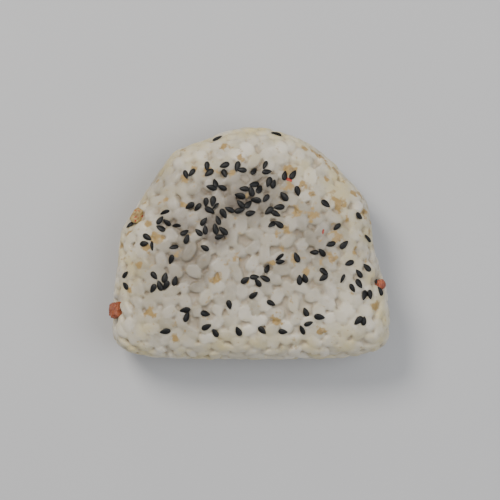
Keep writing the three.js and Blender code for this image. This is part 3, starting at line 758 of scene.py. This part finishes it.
sesame = {
    "halfLength": 1.64, "halfWidth": 0.9, "halfThickness": 0.42,  # mm
    "sizeSpread": 0.1, "widthSpread": (0.9, 1.06), "thickSpread": (0.85, 1.15),
    "pointed": (0.3, 0.13),  # how much narrower the front is, straight and curved
    "flatness": 1.25,  # over 1, the faces are flatter and the rim is sharper
    "rings": 11, "around": 14,
    "lookStart": 9,  # of the draws for sizes and wear
    "sunk": 0.16,  # into the soft rice
    "onEdgeShare": 0.1, "onEdgeRoll": (0.9, 1.3), "onEdgeLift": 0.35,  # seeds on their edge in a gap
    "tipWear": 0.8, "rimWear": 0.35, "rimFrom": 0.97, "wear": (0.2, 0.9),
    "length": 3.3, "width": 1.95, "room": 1, "tries": 60, "start": 4177,  # of places, as in the solid
    "lone": [
        (-10.7, 33.5), (8, 34.8), (0.9, 22.6), (14.7, 16.5), (10.5, 14.8), (-19.3, 11.9), (-23.5, 5.9),
        (-39, 6.2), (-14.5, -1.4), (-24, -11.8), (23.5, 12.5), (27.3, 5.2), (34.4, 8.7), (37.4, 1.6),
        (14.3, -4.4), (30.9, -6.2), (36.8, -7.6), (4.9, -8), (-27.1, -27.8),
    ],  # x, y
    "drifts": [
        (-19.2, 21.9, 1.7, 0.5, 2), (-13.6, 23.4, 1, 1.3, 2), (-8.4, 23.9, 0.6, 2.6, 2),
        (-3.7, 23.6, 1.2, 0.8, 2), (4.8, 23.9, 0.8, 1.5, 2), (11.8, 21.5, 1.7, 0.6, 2),
        (-10.3, 18.2, 2.8, 0.9, 3), (-0.4, 17.5, 3.4, 1.2, 4), (6.3, 19.2, 0.7, 1.5, 2),
        (-3.3, 12.7, 0.8, 2.5, 3), (2.4, 14.2, 2.4, 0.6, 2), (-1.1, 10.4, 1.2, 2, 2),
        (-14, 12.2, 3.4, 1.9, 5), (-7.6, 10, 1.3, 1.5, 2), (8, 10.4, 2.4, 1.3, 3),
        (-27.8, 7, 1.2, 4.4, 4), (-15.1, 4, 1.5, 3.2, 3), (-10.1, 4, 1.4, 3.4, 4),
        (-20.7, 1.9, 0.6, 1.5, 2), (-32, 0.4, 2, 1.8, 3), (-24.6, -3.5, 0.9, 2.4, 2),
        (-40, -9.8, 0.6, 4, 2), (-29.4, -12.3, 3, 2.8, 5), (6.9, 5.8, 2, 0.5, 2),
        (26.6, -0.6, 3, 1.5, 2), (9.2, -4.6, 1.2, 1.2, 2), (20.5, -2.7, 1.9, 0.4, 2),
        (0.8, -11.1, 4.2, 1.4, 4), (16.6, -11.6, 1.5, 1.5, 2), (22.9, -10.3, 0.6, 2, 2),
        (31.8, -11.3, 3, 3, 4), (40.8, -14.6, 0.7, 2.6, 2), (35.7, -16.1, 2.2, 0.8, 2),
        (35.3, -24.5, 1.6, 0.5, 2), (2, -23, 24, 7.5, 15),
    ],  # x, y, reach along x, reach along y (mm), seeds
}

# how a flat thing is laid on what is there: rays from above at places in its outline, as shares of its
# half length and half width
seat = {
    "places": ((0, 0), (0.8, 0), (-0.8, 0), (0.3, 0.8), (0.3, -0.8), (-0.4, 0.8), (-0.4, -0.8)),
    "aboveMm": 3, "lookDownMm": 4.5, "mostLean": 0.45,
}


def steadyDraw(state):
    # the minimal standard generator, so that the seeds fall where the solid has them
    while True:
        state = state * 16807 % 2147483647
        yield state / 2147483647


def apartForSeed(one, other):
    # under 1, the one lies over the other
    gap = complex(one[0] - other[0], one[1] - other[1])
    total = 0
    for turn in (one[2], other[2]):
        turned = gap * complex(math.cos(turn), -math.sin(turn))
        total += (turned.real / sesame["length"]) ** 2 + (turned.imag / sesame["width"]) ** 2
    return math.sqrt(total / 2)


def seedPlaces():
    # x, y and heading; each seed of a drift takes the first place with room for it, or its best try
    draw = steadyDraw(sesame["start"])
    kept = [(x, y, next(draw) * 2 * math.pi) for x, y in sesame["lone"]]
    for x, y, reachX, reachY, count in sesame["drifts"]:
        for _ in range(count):
            best, bestRoom = None, -1
            for _ in range(sesame["tries"]):
                if bestRoom >= sesame["room"]:
                    break
                around = next(draw) * 2 * math.pi
                spread = math.sqrt(next(draw))
                laid = (x + reachX * spread * math.cos(around), y + reachY * spread * math.sin(around),
                        next(draw) * 2 * math.pi)
                room = min(apartForSeed(laid, other) for other in kept)
                if room > bestRoom:
                    best, bestRoom = laid, room
            kept.append(best)
    return kept


def seatOn(surfaces, place, heading, outward, halfLength, halfWidth):
    # a flat thing's seat on what lies there: rays at its rim and middle find a plane that rests on it
    side = np.cross(outward, heading)
    found = []
    for u, v in seat["places"]:
        start = place + u * halfLength * heading + v * halfWidth * side + seat["aboveMm"] * outward
        ways = [surface.ray_cast(Vector(start), Vector(-outward), seat["lookDownMm"])[3]
                for surface in surfaces]
        nearest = min([way for way in ways if way is not None], default=seat["lookDownMm"])
        found.append((u * halfLength, v * halfWidth, seat["aboveMm"] - nearest))
    found = np.array(found)
    level = np.column_stack([found[:, 0], found[:, 1], np.ones(len(found))])
    fit = np.linalg.lstsq(level, found[:, 2], rcond=None)[0]
    lean = np.clip(fit[:2], -seat["mostLean"], seat["mostLean"])
    height = np.sort(found[:, 2] - found[:, :2] @ lean)[-2]  # the highest place sinks in
    newOutward = unit(outward - lean[0] * heading - lean[1] * side)
    newHeading = unit(heading - np.dot(heading, newOutward) * newOutward)
    return place + height * outward, newHeading, newOutward


def sesameSeeds():
    draw = np.random.default_rng(sesame["lookStart"])
    along, turn, faces = grainSkin(sesame["rings"], sesame["around"])
    straight, curved = sesame["pointed"]
    points, allFaces, rubbed = [], [], []
    for x, y, heading in seedPlaces():
        place, outward = onFace(x, y)
        ahead = np.array([math.cos(heading), math.sin(heading), 0.0])
        ahead = unit(ahead - np.dot(ahead, outward) * outward)
        size = 1 + draw.uniform(-1, 1) * sesame["sizeSpread"]
        halfLength = sesame["halfLength"] * size
        halfWidth = sesame["halfWidth"] * size * draw.uniform(*sesame["widthSpread"])
        halfThickness = sesame["halfThickness"] * draw.uniform(*sesame["thickSpread"])
        under = [BVHTree.FromPolygons(other.tolist(), faces.tolist()) for other in points
                 if np.linalg.norm(other.mean(0) - place) < 2 * sesame["halfLength"]]
        place, ahead, outward = seatOn([riceSurface] + under, place, ahead, outward, halfLength, halfWidth)
        side = np.cross(outward, ahead)
        lift = halfThickness - sesame["sunk"]
        if draw.uniform() < sesame["onEdgeShare"]:
            roll = draw.uniform(*sesame["onEdgeRoll"]) * draw.choice([-1, 1])
            side, outward = (side * math.cos(roll) + outward * math.sin(roll),
                             outward * math.cos(roll) - side * math.sin(roll))
            lift = sesame["onEdgeLift"] * halfWidth
        # a drop: round behind, drawn out to a blunt point in front, with a rim where the hull's halves meet
        girth = np.sqrt(np.maximum(1 - along ** 2, 0)) * (1 - straight * along - curved * along ** 2)
        flat = np.abs(np.sin(turn)) ** sesame["flatness"] * np.sign(np.sin(turn))
        shape = (along[:, None] * halfLength * ahead + (girth * np.cos(turn))[:, None] * halfWidth * side
                 + (girth * flat)[:, None] * halfThickness * outward)
        shape = shape + place + lift * outward
        allFaces.append(faces + len(points) * len(along))
        points.append(shape)
        atTips = sesame["tipWear"] * np.abs(along) ** 6
        atRim = sesame["rimWear"] * (np.abs(np.cos(turn)) > sesame["rimFrom"])
        rubbed.append(np.clip(atTips + atRim, 0, 1) * draw.uniform(*sesame["wear"]))
    piece = meshPiece("sesame_seeds", np.concatenate(points), np.concatenate(allFaces), sesameHull())
    paint(piece, "rubbed", np.concatenate(rubbed))
    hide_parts("rice_ball")
    print("sesame", len(points), "seeds,", sum(len(f) for f in allFaces), "triangles")


sesameSeeds()

# Filling

# relief of the torn meat: waves across a scrap and how high they are, as a share of its half size
meat = {
    "coarse": (1.6, 0.14), "strands": (5.2, 0.09), "fine": (11, 0.03),
    "strandLong": 0.85,  # how much the strands are drawn out along the fibre
    "core": 0.35, "boxy": 0.6, "mostBoxy": 1.35,
}


def chickenScraps():
    for name, scrap in scraps.items():
        middle, axes, half = scrapSeat(scrap)
        shape = bmesh.new()
        bmesh.ops.create_icosphere(shape, subdivisions=6, radius=1)
        fibre = Vector(scrap["fibre"]).normalized()
        for corner in shape.verts:
            way = corner.co.copy()
            across = way - way.dot(fibre) * fibre * meat["strandLong"]
            relief = 1
            for form, at, apart in (("coarse", way, 1), ("strands", across, 1), ("fine", across, 2)):
                waves, height = meat[form]
                relief += height * noise.noise(at * waves + Vector(middle) * apart)
            torn = min(1 / max(abs(way.x), abs(way.y), abs(way.z)), meat["mostBoxy"])
            corner.co = way * (meat["core"] + meat["boxy"] * torn) * relief
        points = np.array([corner.co for corner in shape.verts])
        faces = [[corner.index for corner in face.verts] for face in shape.faces]
        shape.free()
        material = glazedChicken("soy_glazed_" + name, scrap["pale"], scrap["deep"], scrap["speck"])
        piece = meshPiece(name + "_meat", middle + points * half @ axes, faces, material)
        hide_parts(name)
    print("chicken scraps done")


chickenScraps()

# Crumbs of crust and chilli flecks

def flakes(name, spots, material, draw, sizeMm):
    # thin ragged flakes that lie over the grains as they fall, with their edges sunk into them
    shares = np.linspace(0, 1, crumbs["rings"])[1:]
    turns = np.linspace(0, 2 * math.pi, crumbs["around"], endpoint=False)
    points, faces = [], []
    for x, y in spots:
        size = draw.uniform(*sizeMm)
        narrow = draw.uniform(*crumbs["narrow"])
        turned = draw.uniform(0, math.pi)
        outline = 1
        for lobes, out in crumbs["lobes"]:
            outline = outline + out * np.sin(lobes * turns + draw.uniform(*anyPhase))
        across = np.concatenate([[[0, 0]]] + [share * size * np.stack(
            [outline * np.cos(turns), narrow * outline * np.sin(turns)], -1) for share in shares])
        lift = np.concatenate([[1.0], np.repeat(1 - shares ** 3, len(turns))])
        lift = lift * crumbs["thickMm"] * draw.uniform(*crumbs["uneven"], len(lift)) - crumbs["edgeSunkMm"]
        hub, outward = onFace(x, y)
        ahead = unit(np.cross(outward, (-math.sin(turned), math.cos(turned), 0.0)))
        side = np.cross(outward, ahead)
        first = len(points) * len(across)
        draped = []
        for (along, aside), height in zip(across, lift):
            start = hub + along * ahead + aside * side + crumbs["aboveMm"] * outward
            hit, *_ = riceSurface.ray_cast(Vector(start), Vector(-outward), crumbs["lookDownMm"])
            laid = np.array(hit) if hit else start - crumbs["missedMm"] * outward
            draped.append(laid + height * outward)
        points.append(np.array(draped))
        for k in range(len(turns)):
            following = (k + 1) % len(turns)
            faces.append((first, first + 1 + k, first + 1 + following, first + 1 + following))
            for ring in range(len(shares) - 1):
                here, there = first + 1 + ring * len(turns), first + 1 + (ring + 1) * len(turns)
                faces.append((here + k, there + k, there + following, here + following))
    faces = [corners if corners[2] != corners[3] else corners[:3] for corners in faces]
    piece = meshPiece(name, np.concatenate(points), faces, material)
    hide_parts("rice_ball")


def allFlakes():
    draw = np.random.default_rng(crumbs["start"])
    crust = glazedChicken("soy_sauce_crust", *crumbs["crustColours"])
    flakes("crust_crumbs", crumbs["spots"], crust, draw, crumbs["crumbMm"])
    chilli = glazedChicken("red_chilli_skin", *crumbs["chilliColours"])
    flakes("chilli_flecks", crumbs["chilli"], chilli, draw, crumbs["fleckMm"])
    print("crumbs done")


allFlakes()

# Floor, lights and camera

view = {
    "frameMm": 160.0,  # across the picture, at the height of the ball's belt
    "aboveMm": 900.0,
    "middleMm": (-0.32, -2.08),  # what lies in the picture's middle
    "sensorMm": 36.0,
    "farthestMetres": 20,
}

# metres, watts and colour; both lamps look at the middle of the ball
lamps = {
    "window_key": {"place": (-0.35, 0.45, 0.75), "size": 0.35, "watts": 6.7, "colour": "#fffaf2"},
    "overhead_fill": {"place": (0.55, 0.0, 0.95), "size": 0.8, "watts": 5.7, "colour": "#f8fbff"},
}
lampsLookAt = (0, 0, 0.015)
room = {"colour": "#eef0f2", "strength": 0.6}
floorHalfSize = 3.0


def stageFloor():
    size = floorHalfSize
    corners = [(-size, -size, 0), (size, -size, 0), (size, size, 0), (-size, size, 0)]
    mesh = bpy.data.meshes.new("board")
    mesh.from_pydata(corners, [], [(0, 1, 2, 3)])
    mesh.materials.append(paintedBoard())
    floor = bpy.data.objects.new("board", mesh)
    bpy.context.scene.collection.objects.link(floor)


def softLights():
    for name, facts in lamps.items():
        lamp = bpy.data.lights.new(name, "AREA")
        lamp.shape = "DISK"
        lamp.size = facts["size"]
        lamp.energy = facts["watts"]
        lamp.color = linear(facts["colour"])[:3]
        holder = bpy.data.objects.new(name, lamp)
        holder.location = facts["place"]
        way = Vector(lampsLookAt) - Vector(facts["place"])
        holder.rotation_euler = way.to_track_quat("-Z", "Y").to_euler()
        bpy.context.scene.collection.objects.link(holder)


def studio():
    stageFloor()
    softLights()
    world = bpy.data.worlds.new("room")
    world.use_nodes = True
    background = world.node_tree.nodes["Background"]
    background.inputs["Color"].default_value = linear(room["colour"])
    background.inputs["Strength"].default_value = room["strength"]
    bpy.context.scene.world = world
    camera = bpy.data.cameras.new("camera")
    camera.sensor_width = view["sensorMm"]
    camera.lens = view["sensorMm"] * view["aboveMm"] / view["frameMm"]
    camera.clip_end = view["farthestMetres"]
    holder = bpy.data.objects.new("camera", camera)
    middle = toFrame((*view["middleMm"], mould["belt"] + view["aboveMm"]))
    holder.location = middle.tolist()
    bpy.context.scene.collection.objects.link(holder)
    bpy.context.scene.camera = holder


studio()
print("studio ready")
